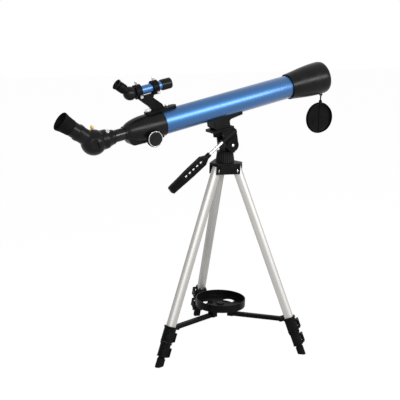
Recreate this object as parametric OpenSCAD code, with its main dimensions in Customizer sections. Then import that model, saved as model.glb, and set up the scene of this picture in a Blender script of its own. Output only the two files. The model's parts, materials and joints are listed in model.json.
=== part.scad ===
// Refracting telescope of 50 mm aperture on a folding tripod. Millimetres, origin on the floor under
// the tripod's axis, +X under the front of the tube, +Z up.

/* [Tripod] */
// Length of a leg from its rivet to the floor, along the leg
leg_length = 464.5; // [460:0.5:480]
// Angle of the legs from the vertical
leg_splay = 21.62; // [20:0.1:23]
// Distance of the leg rivets from the tripod's axis
leg_pivot_r = 30.8; // [30:0.1:33]
// Direction of the first leg, counted from +X; the others follow at thirds of a turn
leg_azimuth = -163.2; // [-180:0.1:180]
// Width of the upper leg profile
leg_w = 18; // [17:0.5:19]
// Depth of the upper leg profile, from its open back to its round front
leg_d = 19.5; // [18.5:0.5:21]
// Wall of the leg profiles
leg_wall = 1.2; // [1:0.1:1.5]
// Slot along the open back of the leg profiles
leg_slot = 8; // [6:0.5:9]
// Visible length of the lowest leg stage, from the floor to the lower clamp
foot_len = 24; // [20:1:30]
// Height of the lower clamp, along the leg
low_clamp_h = 34; // [32:1:38]
// Height of the upper clamp, along the leg
up_clamp_h = 36; // [34:1:40]
// Wall of the moulded clamps
clamp_wall = 3; // [2.5:0.1:3.5]
// Height of the clamp levers
lever_h = 22; // [20:1:24]
// Thickness of the clamp levers
lever_t = 3.4; // [3:0.1:4]
// Radius of the leg rivets
rivet_r = 2.5; // [2:0.1:3]

/* [Spider] */
// Radius of the top plate of the spider
spider_r = 43; // [42:0.5:46]
// Thickness of that plate
spider_plate = 6; // [5:0.5:7]
// Thickness of the clevis ears
ear_t = 3.5; // [3:0.1:4]
// Height of the ribbed neck
neck_h = 21.5; // [20:0.5:24]
// Radius of the neck at its foot
neck_r1 = 22.2; // [21:0.1:24]
// Radius of the neck at its top
neck_r2 = 19.2; // [18.5:0.1:20]
// Number of ribs around the neck
neck_ribs = 24; // [18:1:28]

/* [Spreader and tray] */
// Distance of the braces' outer pins below the leg rivets, along the leg
brace_down = 368.9; // [367:0.1:369.5]
// Distance of those pins from the leg's centre line
brace_off = 20.1; // [19.8:0.1:21]
// Distance of the braces' inner pins from the tripod's axis
hub_pin_r = 26; // [25:0.5:27]
// Height of the brace bars
brace_h = 9.5; // [8:0.5:10]
// Width of the brace bars
brace_w = 9.8; // [9:0.1:10]
// Radius of the accessory tray
tray_r = 59.1; // [57:0.1:61]
// Height of the tray's rim
tray_h = 17.8; // [15:0.1:20]
// Thickness of the tray's floor and wall
tray_wall = 2.6; // [2:0.1:3.5]
// Radius of the tray's three holes
tray_hole_r = 14; // [12:0.5:15]
// Distance of those holes from the middle
tray_hole_at = 32; // [31:0.5:34]

/* [Head] */
// Height of the tilt axis over the pan plate's underside
knuckle_h = 19.6; // [19:0.1:21]
// Half width of the pan head's knuckle
knuckle_w = 12; // [11:0.5:12.5]
// Radius of the knuckle around the tilt bolt
knuckle_r = 14; // [13:0.5:14.5]
// Radius of the tilt bolt
bolt_r = 4; // [3.5:0.1:4.5]
// Radius of the pan pivot
pan_pivot_r = 6; // [5:0.5:7]
// Thickness of the cheek that carries the handle
near_cheek = 10; // [10:0.5:11]
// Thickness of the other cheek
far_cheek = 6.5; // [5.5:0.5:7.5]
// Radius of the ringed cap on the tilt bolt
cap_r = 15; // [14:0.5:15.5]
// Angle of the handle below the line of the tube
handle_drop = 26.34; // [24:0.1:28]
// Distance of the handle's axis from the tilt axis
handle_off = 20.9; // [20.5:0.1:22]
// Radius of the handle's rod
rod_r = 3.7; // [3:0.1:3.8]
// Length of the rod between cheek and grip
rod_free = 46; // [40:1:60]
// Length of the grip
grip_len = 124; // [115:1:130]
// Width of the grip at its root
grip_w1 = 22.7; // [20:0.1:24]
// Width of the grip at its end
grip_w2 = 18.4; // [16:0.1:20]
// Thickness of the grip
grip_t = 10; // [9:0.5:12]

/* [Tube] */
// Tilt of the tube above the horizontal
tube_tilt = 11.81; // [8:0.1:14]
// Height of the tube's axis above the tilt axis, square to the tube
tube_rise = 90.2; // [88:0.1:94]
// Outside radius of the main tube
tube_r = 27; // [26.5:0.1:27.5]
// Wall of the main tube
tube_wall = 1.2; // [1:0.1:1.5]
// Length of the main tube behind the head's centre mark
tube_back = 168; // [164:1:175]
// Length of the main tube in front of that mark
tube_front = 196; // [190:1:205]
// Radius of the objective
lens_r = 25; // [24.5:0.1:25.2]

/* [Dew hood] */
// Length of the hood
hood_len = 102; // [98:1:110]
// How far the hood's skirt reaches back over the tube
hood_lap = 28; // [26:1:32]
// Radius of the hood's back lip
hood_r1 = 30; // [29.5:0.1:31]
// Radius of the hood at its widest
hood_r2 = 38.3; // [38:0.1:39.5]
// Radius of the mouth
mouth_r = 35.5; // [35:0.1:35.8]
// Depth of the mouth's straight bore
mouth_deep = 14; // [12:1:16]
// Radius of the lens cap
cap_disc_r = 37.5; // [37:0.1:39]
// Depth of the lens cap
cap_deep = 8; // [6:0.5:10]
// Length of the cap's strap between its eyes
strap_len = 15.7; // [14:0.1:20]

/* [Focuser] */
// Length of the focuser housing behind the tube
housing_len = 94; // [92:1:98]
// Radius of the housing at the tube
housing_r1 = 28.9; // [28.6:0.1:29.4]
// Radius of the housing at its back end
housing_r2 = 16.2; // [15.5:0.1:17]
// Radius of the draw tube
draw_r = 13.5; // [13.2:0.1:13.8]
// Wall of the draw tube
draw_wall = 1.1; // [1:0.1:1.4]
// Length of draw tube seen behind the housing
draw_out = 23; // [22:1:28]
// Number of teeth on the focus pinion
pinion_teeth = 10; // [10:1:12]
// Module of the focus rack
rack_module = 0.9; // [0.8:0.05:0.95]
// Radius of the focus knobs
knob_r = 18.5; // [17:0.5:19]
// Thickness of the focus knobs
knob_t = 10; // [8:0.5:11]

/* [Diagonal and eyepiece] */
// Radius of the diagonal's ball
ball_r = 28; // [27.5:0.5:29]
// Radius of the eyepiece barrel and of the diagonal's nose
barrel_r = 12.25; // [12:0.05:12.5]
// Length of the collar at the end of the draw tube
collar_len = 31; // [29:1:33]
// Half size of the prism
prism_a = 10; // [9:0.5:10.5]
// Distance of the eyepiece's flange from the ball's middle
eye_at = 42.3; // [42:0.1:45]
// Length of the eyepiece above its flange
eye_len = 48; // [44:1:52]

/* [Finder] */
// Height of the finder's axis above the tube's axis
finder_h = 81.8; // [80:0.1:84]
// Radius of the finder's tube
finder_r = 9.8; // [9.4:0.1:10.2]
// Radius of the finder's front bell
bell_r = 12.2; // [11.5:0.1:13]
// Outside radius of the two bracket rings
ring_r = 15; // [14.8:0.1:16]
// Radius of the finder's ball
fball_r = 15; // [14.5:0.1:15.5]

/* [Hidden] */
$fn = 64;

black = "#1c1c1e";
grey = "#3a3b3d";
silver = "#c9cacc";
blue = "#3f79b8";
glass = "#a9c6cf";

// Clearances: a running fit, a gap between moving pieces, and a push fit inside one body.
run = 0.05;
gap = 0.3;
seat = 0.03;
// Longer than any cut that goes right through.
far = 400;

// Heights up the tripod, from the floor.
pin_z = leg_length * cos(leg_splay);
ear_down = 7.8;
plate_z = pin_z + 11.2;
spider_top = plate_z + spider_plate;
pan_z = spider_top + neck_h + gap;
tilt_x = 5;
tilt_z = pan_z + knuckle_h;
cheek_y = knuckle_w + 0.7;
// The leg stages: each slides in the one above it.
mid_w = leg_w - 2 * leg_wall - 2 * gap;
mid_d = leg_d - 2 * leg_wall - 2 * gap;
low_w = mid_w - 2 * leg_wall - 2 * gap;
low_d = mid_d - 2 * leg_wall - 2 * gap;
// Heights along a leg, counted down from its rivet.
up_top = -(leg_length - foot_len - low_clamp_h - 1 - up_clamp_h);
up_bottom = up_top - up_clamp_h;
low_top = up_bottom - 1;
low_bottom = low_top - low_clamp_h;
guide_h = 12;
lever_off = 0.3;
// The braces' outer pins, and the hub.
brace_pin_r = 2;
pin_r_out = leg_pivot_r + brace_down * sin(leg_splay) - brace_off * cos(leg_splay);
pin_z_out = pin_z - brace_down * cos(leg_splay) - brace_off * sin(leg_splay);
brace_len = pin_r_out - hub_pin_r;
hub_z = pin_z_out + 15;
hub_plate = 3.5;
tray_z = hub_z + hub_plate;
// Angle of both eyepieces above the line of the tube, as their roof prisms set it.
diag_angle = 45;
// Places along the tube, counted from the head's centre mark.
tube_shift = 13.75;
housing_end = -tube_back - housing_len;
hood_back = tube_front - hood_lap;
hood_end = hood_back + hood_len;
cell_len = 11;
lug_s = hood_end - 9.5;
lug_h = -hood_r2 - 3.2;
eye_r = 2.6;
link_r = 1;
pinion_s = -tube_back - 39.5;
pinion_pitch = pinion_teeth * rack_module / 2;
rack_pitch_h = -draw_r - 2.3;
pinion_h = rack_pitch_h - pinion_pitch;
shaft_r = 2.5;
rack_w = 8;
chin_w = 13.5;
chin_low = -housing_r1;
chin_front = -tube_back - 6;
chin_back = housing_end + 5;
knob_in = housing_r1 + 1.1;
draw_end = housing_end - draw_out;
collar_end = draw_end - collar_len;
ball_s = collar_end - gap - 17.2;
nose_len = 18;
ring_front = [-178, -165];
ring_back = [-219.5, -206];
fball_s = -231;
fprism_a = 5.2;
screw_pitch = 120;

// ---- frames -------------------------------------------------------------------------------
function leg_az(k) = leg_azimuth + 120 * (k - 1);

module tilt_frame() {
    translate([tilt_x, 0, tilt_z]) rotate([0, -tube_tilt, 0]) children();
}

module tube_frame() {
    tilt_frame() translate([tube_shift, 0, tube_rise]) children();
}

module handle_frame() {
    tilt_frame() rotate([0, 180 - handle_drop, 0])
        translate([0, -cheek_y - near_cheek / 2, -handle_off]) children();
}

module leg_frame(k) {
    rotate([0, 0, leg_az(k)]) translate([leg_pivot_r, 0, pin_z]) rotate([0, -leg_splay, 0]) children();
}

module brace_frame(k) {
    rotate([0, 0, leg_az(k)]) translate([pin_r_out, 0, pin_z_out]) children();
}

// A frame whose +Z runs up the eyepiece, from the middle of a ball at [s, h].
module eye_frame(s, h) {
    tube_frame() translate([s, 0, h]) rotate([0, diag_angle - 90, 0]) children();
}

// ---- shapes -------------------------------------------------------------------------------
// Bodies of revolution along the tube: pts holds [place along the tube, radius].
module turned(pts) {
    rotate([0, 90, 0]) rotate([0, 0, 180]) rotate_extrude() polygon([for (p = pts) [p[1], p[0]]]);
}

module tube_cyl(r, s1, s2) {
    translate([s1, 0, 0]) rotate([0, 90, 0]) cylinder(r = r, h = s2 - s1);
}

// A rod along Y, from y1 to y2.
module cross_cyl(r, y1, y2) {
    translate([0, y1, 0]) rotate([-90, 0, 0]) cylinder(r = r, h = y2 - y1);
}

// Outline of a knurled rim: n ridges of the given depth.
module knurl(r, n, deep) {
    polygon([for (i = [0:2 * n - 1]) (r - deep * (i % 2)) * [cos(180 * i / n), sin(180 * i / n)]]);
}

// A knurled thumb screw along +Z: its head stands from z = 0 up, its shank goes down.
module thumb_screw(head_r, head_h, shank_r, shank_len) {
    linear_extrude(head_h) knurl(head_r, 16, 0.6);
    translate([0, 0, -shank_len]) cylinder(r = shank_r, h = shank_len + 0.5);
}

// Leg profile: flat sides and back, round front towards +X.
module leg_outline(w, d) {
    translate([d / 2 - w / 2, 0]) circle(r = w / 2);
    translate([-d / 2, -w / 2]) square([d - w / 2, w]);
}

// ---- legs ---------------------------------------------------------------------------------
module leg_profile(w, d, z1, z2) {
    translate([0, 0, z1]) linear_extrude(z2 - z1) difference() {
        leg_outline(w, d);
        leg_outline(w - 2 * leg_wall, d - 2 * leg_wall);
        translate([-d, -leg_slot / 2]) square([d - leg_wall, leg_slot]);
    }
}

module leg_upper(k) {
    color(silver) leg_frame(k) difference() {
        leg_profile(leg_w, leg_d, up_bottom + guide_h, 7);
        cross_cyl(rivet_r + run, -leg_w, leg_w);
    }
}

module leg_middle(k) {
    color(silver) leg_frame(k) leg_profile(mid_w, mid_d, low_bottom + guide_h, -20);
}

// Hinge corner of a lever on a clamp of outside width w and depth d.
function hinge_x(d) = d / 2 + 0.5;
function hinge_y(w) = w / 2 + lever_off + lever_t / 2;

// A clamp: collar, hinge lugs and pin for its lever. The stage above sits in it, the next one slides.
module clamp_body(w, d, top, h, drop) {
    ow = w + 2 * clamp_wall;
    od = d + 2 * clamp_wall;
    mid = top - h + drop;
    difference() {
        union() {
            translate([0, 0, top - h]) linear_extrude(h) leg_outline(ow, od);
            translate([0, 0, top - 4]) linear_extrude(4) leg_outline(ow + 2, od + 2);
            for (z = [mid - lever_h / 2, mid + lever_h / 2 - 4])
                translate([0, 0, z]) linear_extrude(4) {
                    translate([hinge_x(od), hinge_y(ow)]) circle(r = 2.8);
                    translate([hinge_x(od) - 2.8, 0]) square([5.6, hinge_y(ow)]);
                }
            translate([hinge_x(od), hinge_y(ow), mid - lever_h / 2])
                cylinder(r = 1.3, h = lever_h);
        }
        translate([0, 0, top - h + guide_h]) linear_extrude(h) leg_outline(w + 2 * seat, d + 2 * seat);
        translate([0, 0, top - h - 1]) linear_extrude(h)
            leg_outline(w - 2 * leg_wall, d - 2 * leg_wall);
    }
}

// The lever: a plate along the clamp's side that swings on the pin at the outer corner.
module clamp_lever(w, d, top, h, drop) {
    ow = w + 2 * clamp_wall;
    od = d + 2 * clamp_wall;
    mid = top - h + drop;
    back = -od / 2 + 1;
    difference() {
        translate([0, 0, mid]) union() {
            translate([hinge_x(od), hinge_y(ow), 4 + gap - lever_h / 2])
                cylinder(r = 2.8, h = lever_h - 8 - 2 * gap);
            translate([back, hinge_y(ow) - lever_t / 2, 4 + gap - lever_h / 2])
                cube([hinge_x(od) - back, lever_t, lever_h - 8 - 2 * gap]);
            translate([back, hinge_y(ow) - lever_t / 2, -lever_h / 2])
                cube([hinge_x(od) - back - 4, lever_t, lever_h]);
            translate([back, hinge_y(ow) + lever_t / 2 - 0.5, -lever_h / 2])
                cube([3, 2, lever_h]);
        }
        translate([hinge_x(od), hinge_y(ow), mid - lever_h]) cylinder(r = 1.3 + run, h = 2 * lever_h);
    }
}

module leg_clamp(k) {
    lug = brace_w / 2 + gap;
    color(black) leg_frame(k) difference() {
        union() {
            clamp_body(leg_w, leg_d, up_top, up_clamp_h, 14);
            // ears that hold the brace's outer pin
            for (side = [0, 1]) mirror([0, side, 0]) translate([0, lug, 0]) rotate([-90, 0, 0])
                linear_extrude(3) {
                    translate([-brace_off, brace_down]) circle(r = 5);
                    translate([-brace_off, brace_down - 5]) square([brace_off - leg_d / 2 - 1, 10]);
                }
        }
        translate([-brace_off, 0, -brace_down]) cross_cyl(brace_pin_r + run, -far, far);
        translate([-brace_off - 6, -lug, -brace_down - 9])
            cube([brace_off + 6 - leg_d / 2 - clamp_wall + 0.2, 2 * lug, 18]);
    }
}

module leg_lever(k) {
    color(black) leg_frame(k) clamp_lever(leg_w, leg_d, up_top, up_clamp_h, 14);
}

module leg_middle_clamp(k) {
    color(black) leg_frame(k) clamp_body(mid_w, mid_d, low_top, low_clamp_h, 13);
}

module leg_middle_lever(k) {
    color(black) leg_frame(k) clamp_lever(mid_w, mid_d, low_top, low_clamp_h, 13);
}

module leg_lower(k) {
    color(black) difference() {
        leg_frame(k) {
            translate([0, 0, -leg_length - 12]) linear_extrude(leg_length + 12 - 28)
                leg_outline(low_w, low_d);
            translate([0, 0, -leg_length - 12]) linear_extrude(foot_len + 12 - 4)
                leg_outline(mid_w, mid_d);
        }
        translate([-far, -far, -far]) cube([2 * far, 2 * far, far]);
    }
}

// ---- spider and pan head ------------------------------------------------------------------
module leg_spider() {
    ear_y = leg_w / 2 + gap;
    color(black) difference() {
        union() {
            translate([0, 0, plate_z]) cylinder(r = spider_r, h = spider_plate);
            translate([0, 0, pin_z - ear_down]) cylinder(r = 17, h = plate_z - pin_z + ear_down + 1);
            for (k = [1:3]) rotate([0, 0, leg_az(k)]) for (side = [-1, 1])
                translate([12, side * (ear_y + ear_t / 2) - ear_t / 2, pin_z - ear_down])
                    cube([leg_pivot_r + 8 - 12, ear_t, plate_z - pin_z + ear_down + 1]);
            translate([0, 0, spider_top - 0.01]) difference() {
                cylinder(r1 = neck_r1, r2 = neck_r2, h = neck_h + 0.01);
                for (i = [1:neck_ribs]) rotate([0, 0, 360 * i / neck_ribs])
                    translate([neck_r1 + 0.6, 0, 1]) rotate([0, -atan((neck_r1 - neck_r2) / neck_h), 0])
                        translate([0, 0, neck_h / 2]) cube([3, 2.4, neck_h + 1], center = true);
            }
        }
        translate([0, 0, pin_z]) cylinder(r = pan_pivot_r + run, h = far);
        for (k = [1:3]) rotate([0, 0, leg_az(k)]) translate([leg_pivot_r, 0, pin_z])
            cross_cyl(rivet_r + seat, -ear_y - ear_t - 1, ear_y + ear_t + 1);
    }
}

module leg_pins() {
    reach = leg_w / 2 + gap + ear_t;
    color(silver) for (k = [1:3]) rotate([0, 0, leg_az(k)]) translate([leg_pivot_r, 0, pin_z]) {
        cross_cyl(rivet_r, -reach - 0.5, reach + 0.5);
        for (y = [-reach - 1.5, reach]) cross_cyl(4.2, y, y + 1.5);
    }
}

module pan_head() {
    color(black) difference() {
        union() {
            translate([0, 0, pan_z]) cylinder(r = neck_r2 + 0.8, h = 3);
            translate([tilt_x, 0, tilt_z]) cross_cyl(knuckle_r, -knuckle_w, knuckle_w);
            translate([tilt_x - knuckle_r, -knuckle_w, pan_z])
                cube([2 * knuckle_r, 2 * knuckle_w, knuckle_h]);
            translate([0, 0, pin_z + 6]) cylinder(r = pan_pivot_r, h = pan_z - pin_z - 5);
        }
        translate([tilt_x, 0, tilt_z]) cross_cyl(bolt_r + run, -far, far);
    }
}

// ---- tilt platform, bolt, handle ----------------------------------------------------------
plate_low = tube_rise - 54;
plate_high = tube_rise - 48.2;
cheek_r = 16;
socket_r = rod_r + 2.6;
socket_len = 14;

module cheek_outline(x_back, x_front) {
    circle(r = cheek_r);
    polygon([[-cheek_r, 0], [cheek_r, 0], [x_front, plate_low - 4], [x_front - 4, plate_low + 1],
        [x_back, plate_low + 1], [-cheek_r + 1, handle_off]]);
}

module tilt_platform() {
    near_y = -cheek_y - near_cheek;
    color(grey) difference() {
        union() {
            tilt_frame() {
                translate([-40, -20, plate_low]) cube([53, 40, plate_high - plate_low]);
                translate([0, near_y, 0]) rotate([90, 0, 0]) mirror([0, 0, 1])
                    linear_extrude(near_cheek) cheek_outline(-22, 17);
                translate([0, cheek_y, 0]) rotate([90, 0, 0]) mirror([0, 0, 1])
                    linear_extrude(far_cheek) cheek_outline(-22, 17);
            }
            // the handle's socket runs across the cheek as a raised ridge
            handle_frame() translate([-26, 0, 0]) rotate([0, 90, 0])
                cylinder(r = socket_r, h = 26 + socket_len);
        }
        handle_frame() rotate([0, 90, 0]) cylinder(r = rod_r + run, h = far);
        tilt_frame() {
            cross_cyl(bolt_r + seat, -far, far);
            translate([screw_x, 0, plate_low - 1]) cylinder(r = screw_r + 0.3, h = far);
        }
        // slit along the socket that lets the cheek grip the bolt
        handle_frame() translate([-30, -near_cheek, socket_r + 0.2]) cube([50, near_cheek - 3, 1.2]);
    }
}

screw_x = -23.25;
screw_r = 3.1;

module tilt_bolt() {
    near = cheek_y + near_cheek;
    far_face = cheek_y + far_cheek;
    color(black) tilt_frame() difference() {
        union() {
            cross_cyl(bolt_r, -near - 1, far_face + 4);
            cross_cyl(cap_r, -near - 3.4, -near);
            translate([0, far_face, 0]) rotate([-90, 0, 0]) cylinder(r = 7, h = 4.5, $fn = 6);
        }
        // ring grooves and the seat of the centre screw in the cap
        for (r = [12.2, 8.6]) translate([0, -near - 4, 0]) rotate([-90, 0, 0]) difference() {
            cylinder(r = r, h = 1.6);
            translate([0, 0, -1]) cylinder(r = r - 1.4, h = 4);
        }
    }
}

module platform_screw() {
    color(black) tilt_frame() translate([screw_x, 0, plate_low - gap]) {
        translate([0, 0, -12.5]) linear_extrude(12.5) knurl(9, 20, 0.9);
        cylinder(r = screw_r, h = plate_high - plate_low + gap + 7);
    }
}

module handle_rod() {
    color(silver) handle_frame() rotate([0, 90, 0])
        translate([0, 0, 1]) cylinder(r = rod_r, h = socket_len + rod_free + 16 - 1);
}

module handle_grip() {
    x0 = socket_len + rod_free - 4;
    neck = 16;
    hole = 8;
    color(black) handle_frame() difference() {
        union() {
            translate([x0, 0, 0]) rotate([0, 90, 0]) cylinder(r = 6, h = neck);
            translate([x0, grip_t / 2, 0]) rotate([90, 0, 0]) linear_extrude(grip_t)
                polygon([[10, -4.5], [22, -grip_w1 / 2], [60, -grip_w1 / 2], [grip_len - 3, -grip_w2 / 2],
                    [grip_len, -grip_w2 / 2 + 3], [grip_len, grip_w2 / 2 - 3],
                    [grip_len - 3, grip_w2 / 2], [60, grip_w1 / 2], [22, grip_w1 / 2], [10, 4.5]]);
        }
        translate([x0 - 1, 0, 0]) rotate([0, 90, 0]) cylinder(r = rod_r + seat, h = 21);
        for (i = [0:4]) translate([x0 + 28 + 11.7 * i - hole / 2, -far, -hole / 2])
            cube([hole, 2 * far, hole]);
        for (i = [0:7], side = [-1, 1]) translate([x0 + grip_len - 6 - 4.2 * i, side * grip_t / 2, 0])
            cube([1.6, 2, grip_w1 + 2], center = true);
    }
}

// ---- spreader -----------------------------------------------------------------------------
module spreader_hub() {
    y1 = brace_w / 2 + gap;
    color(black) {
        difference() {
            union() {
                translate([0, 0, hub_z]) cylinder(r = 34, h = hub_plate);
                for (k = [1:3], side = [-1, 1]) rotate([0, 0, leg_az(k)]) {
                    translate([hub_pin_r - 7, side * (y1 + 1.4) - 1.4 + side * 0.6, pin_z_out - 4.5])
                        cube([14, 2.8, 15 + 4.5 + 0.5]);
                    translate([hub_pin_r, 0, pin_z_out])
                        cross_cyl(2, side > 0 ? y1 : -y1 - 1, side > 0 ? y1 + 1 : -y1);
                }
            }
            translate([0, 0, hub_z - 1]) cylinder(r = 4 + seat, h = far);
        }
    }
}

module brace(k) {
    reach = brace_w / 2 + gap + 3;
    color(black) brace_frame(k) difference() {
        union() {
            cross_cyl(brace_h / 2, -brace_w / 2, brace_w / 2);
            translate([-brace_len, 0, 0]) cross_cyl(brace_h / 2, -brace_w / 2, brace_w / 2);
            translate([-brace_len, -brace_w / 2, -brace_h / 2]) cube([brace_len, brace_w, brace_h]);
            cross_cyl(brace_pin_r, -reach - 0.2, reach + 0.2);
        }
        for (side = [-1, 1]) translate([-brace_len / 2, side * brace_w / 2, 0])
            cube([brace_len - 22, 3, brace_h - 4.5], center = true);
    }
}

module tray() {
    color(black) difference() {
        union() {
            translate([0, 0, tray_z]) cylinder(r = tray_r, h = tray_h);
            translate([0, 0, hub_z]) cylinder(r = 4, h = hub_plate + 1);
        }
        translate([0, 0, tray_z + tray_wall]) cylinder(r = tray_r - tray_wall, h = tray_h);
        for (i = [0:2]) rotate([0, 0, leg_az(1) + 60 + 6.3 + 120 * i])
            translate([tray_hole_at, 0, tray_z - 1]) cylinder(r = tray_hole_r, h = tray_wall + 2);
    }
    color(black) translate([0, 0, tray_z + tray_wall - 0.5]) cylinder(r = 9, h = 3.5);
}

// ---- optical tube -------------------------------------------------------------------------
module main_tube() {
    color(blue) tube_frame() difference() {
        tube_cyl(tube_r, -tube_back, tube_front);
        tube_cyl(tube_r - tube_wall, -tube_back - 1, tube_front + 1);
        translate([foot_front_s, 0, 0]) cylinder(r = 2 + seat, h = far);
    }
}

foot_front_s = -tube_back + 18;
foot_back_s = -tube_back - 28;

// Radius of the hood's outside at a share u of the way to its widest place.
function flare(u) = hood_r1 + (hood_r2 - hood_r1) * pow(sin(90 * u), 1.2);

module lens_hood() {
    wide = hood_end - 14;
    steps = 10;
    in_r = tube_r + seat;
    color(black) tube_frame() {
        difference() {
            union() {
                turned(concat(
                    [[hood_back + 3, in_r], [hood_back + 3, tube_r + 2], [hood_back, tube_r + 2]],
                    [for (i = [0:steps]) [hood_back + (wide - hood_back) * i / steps, flare(i / steps)]],
                    [[hood_end - 8, hood_r2], [hood_end - 2, hood_r2 - 1.2], [hood_end, hood_r2 - 2.4],
                        [hood_end, mouth_r], [hood_end - mouth_deep, mouth_r],
                        [hood_end - mouth_deep, mouth_r - 1.5],
                        [tube_front + cell_len + 6, cell_r + 1], [tube_front + cell_len, cell_r + 1],
                        [tube_front + cell_len, cell_r + seat], [tube_front, cell_r + seat],
                        [tube_front, in_r]]));
                for (side = [-1, 1]) translate([lug_s, side * 2.4 - 1, lug_h]) {
                    rotate([-90, 0, 0]) cylinder(r = eye_r, h = 2);
                    translate([-eye_r, 0, 0]) cube([2 * eye_r, 2, 6]);
                }
                translate([lug_s, 0, lug_h]) cross_cyl(link_r, -2, 2);
            }
            // long thumb recess on each side
            for (side = [0, 1]) mirror([0, side, 0]) translate([hood_end - 36, -hood_r2 + 0.2, 0])
                rotate([0, 0, -3.6]) rotate([90, 0, 0]) linear_extrude(6) {
                    square([36, 8.6], center = true);
                    for (x = [-18, 18]) translate([x, 0]) circle(r = 4.3);
                }
        }
    }
}

cell_r = 28.6;

module objective_cell() {
    z1 = tube_front;
    z2 = tube_front + cell_len;
    color(black) tube_frame() {
        turned([[z1 - 9, lens_r - 1], [z1 - 9, tube_r - tube_wall - seat],
            [z1, tube_r - tube_wall - seat], [z1, cell_r], [z2, cell_r], [z2, lens_r + 0.1],
            [z1 + 0.5, lens_r + 0.1], [z1 + 0.5, lens_r - 1]]);
        // retaining ring in front of the lens
        turned([[z2 - 2, lens_r - 1.5], [z2 - 2, lens_r + 0.08], [z2 - 0.2, lens_r + 0.08],
            [z2 - 0.2, lens_r - 1.5]]);
    }
}

// How far a lens surface of radius bend has curved away at distance q from the axis; 0 is flat and a
// negative bend is hollow.
function sag(bend, q) = bend == 0 ? 0 : sign(bend) * (abs(bend) - sqrt(bend * bend - q * q));

// A lens along +Z: back face at z1, front face at z2, each with its bend, out to radius r.
module lens(r, z1, bend1, z2, bend2) {
    steps = 5;
    rotate_extrude() polygon(concat(
        [for (i = [0:steps]) let (q = r * i / steps) [q, z1 + sag(bend1, q)]],
        [for (i = [0:steps]) let (q = r - r * i / steps) [q, z2 - sag(bend2, q)]]));
}

// Two elements: a flint hollow at its front and a crown with two convex faces.
module objective_lenses() {
    bend = 340;
    back = tube_front + 0.55;
    flint = 2.6;
    crown = 5;
    color(glass) tube_frame() translate([back, 0, 0]) rotate([0, 90, 0]) {
        lens(lens_r, 0, 0, flint, -bend);
        lens(lens_r, flint + 0.1, bend, flint + crown, bend);
    }
}

// ---- lens cap on its strap ----------------------------------------------------------------
link_x = tilt_x + (tube_shift + lug_s) * cos(tube_tilt) - (tube_rise + lug_h) * sin(tube_tilt);
link_z = tilt_z + (tube_shift + lug_s) * sin(tube_tilt) + (tube_rise + lug_h) * cos(tube_tilt);

module cap_strap() {
    color(black) translate([link_x, 0, link_z]) difference() {
        union() {
            for (z = [0, -strap_len]) translate([0, 0, z]) cross_cyl(2.4, -1.1, 1.1);
            translate([-1.4, -1.1, -strap_len]) cube([2.8, 2.2, strap_len]);
        }
        for (z = [0, -strap_len]) translate([0, 0, z]) cross_cyl(link_r + run, -3, 3);
    }
}

module lens_cap() {
    plug_r = mouth_r - 0.2;
    eye_z = cap_disc_r + 3.2;
    color(black) translate([link_x, 0, link_z - strap_len - eye_z]) {
        cross_cyl(cap_disc_r, cap_deep / 2 - 2, cap_deep / 2);
        difference() {
            cross_cyl(plug_r, -cap_deep / 2, cap_deep / 2 - 1);
            cross_cyl(plug_r - 1.8, -cap_deep, cap_deep / 2 - 2);
        }
        for (a = [0, 90]) rotate([0, a, 0]) translate([-plug_r + 1, cap_deep / 2 - 3.4, -0.8])
            cube([2 * plug_r - 2, 2, 1.6]);
        for (side = [-1, 1]) translate([0, side * 2.4 - 1, 0]) {
            translate([0, 0, eye_z]) rotate([-90, 0, 0]) cylinder(r = 2.4, h = 2);
            translate([-2.4, 0, cap_disc_r - 3]) cube([4.8, 2, 6.2]);
        }
        translate([0, 0, eye_z]) cross_cyl(link_r, -2, 2);
    }
}

// ---- focuser ------------------------------------------------------------------------------
// Radius of the ogive at a share u of the way from the tube to its back end.
function ogive(u) = housing_r2 + (housing_r1 - housing_r2) * pow(1 - pow(u, 2.4), 0.8);

module focuser_housing() {
    steps = 9;
    body = 32;
    plug = 14;
    color(black) tube_frame() difference() {
        union() {
            turned(concat([[-tube_back + plug, draw_r + 4], [-tube_back + plug, tube_r - tube_wall - seat],
                [-tube_back, tube_r - tube_wall - seat], [-tube_back, housing_r1]],
                [for (i = [0:steps]) [-tube_back - body - (housing_len - body - 3) * i / steps,
                    ogive(i / steps)]],
                [[housing_end, housing_r2], [housing_end, draw_r + run],
                    [-tube_back - 20, draw_r + run], [-tube_back - 20, draw_r + 4]]));
            // chin under the draw tube that holds the pinion
            translate([0, chin_w, 0]) rotate([90, 0, 0]) linear_extrude(2 * chin_w) {
                polygon([[chin_front, -draw_r], [chin_front, chin_low], [chin_back + 13, chin_low],
                    [chin_back, chin_low + 13], [chin_back, -draw_r]]);
                translate([chin_back + 13, chin_low + 13]) circle(r = 13);
            }
        }
        tube_cyl(draw_r + run, housing_end - 1, -tube_back + plug + 1);
        // slot for the rack, and the pinion's chamber open below
        translate([housing_end - 1, -rack_w / 2 - gap, rack_pitch_h - 1.6])
            cube([housing_len + plug + 2, rack_w + 2 * gap, 10]);
        translate([pinion_s, 0, pinion_h]) cross_cyl(pinion_pitch + 2, -6, 6);
        translate([pinion_s - 6.5, -6, chin_low - 1]) cube([13, 12, pinion_h - chin_low + 1]);
        translate([pinion_s, 0, pinion_h]) cross_cyl(shaft_r + run, -far, far);
        translate([foot_back_s, 0, 0]) cylinder(r = 2 + seat, h = far);
    }
}

// A flat plate with round ends under the chin.
module pinion_cover() {
    thick = 1.8;
    color(silver) tube_frame() translate([0, 0, chin_low - thick]) {
        for (s = [pinion_s - 24, pinion_s + 8]) translate([s, 0, 0]) cylinder(r = 10.5, h = thick);
        translate([pinion_s - 24, -10.5, 0]) cube([32, 21, thick]);
    }
}

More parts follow.
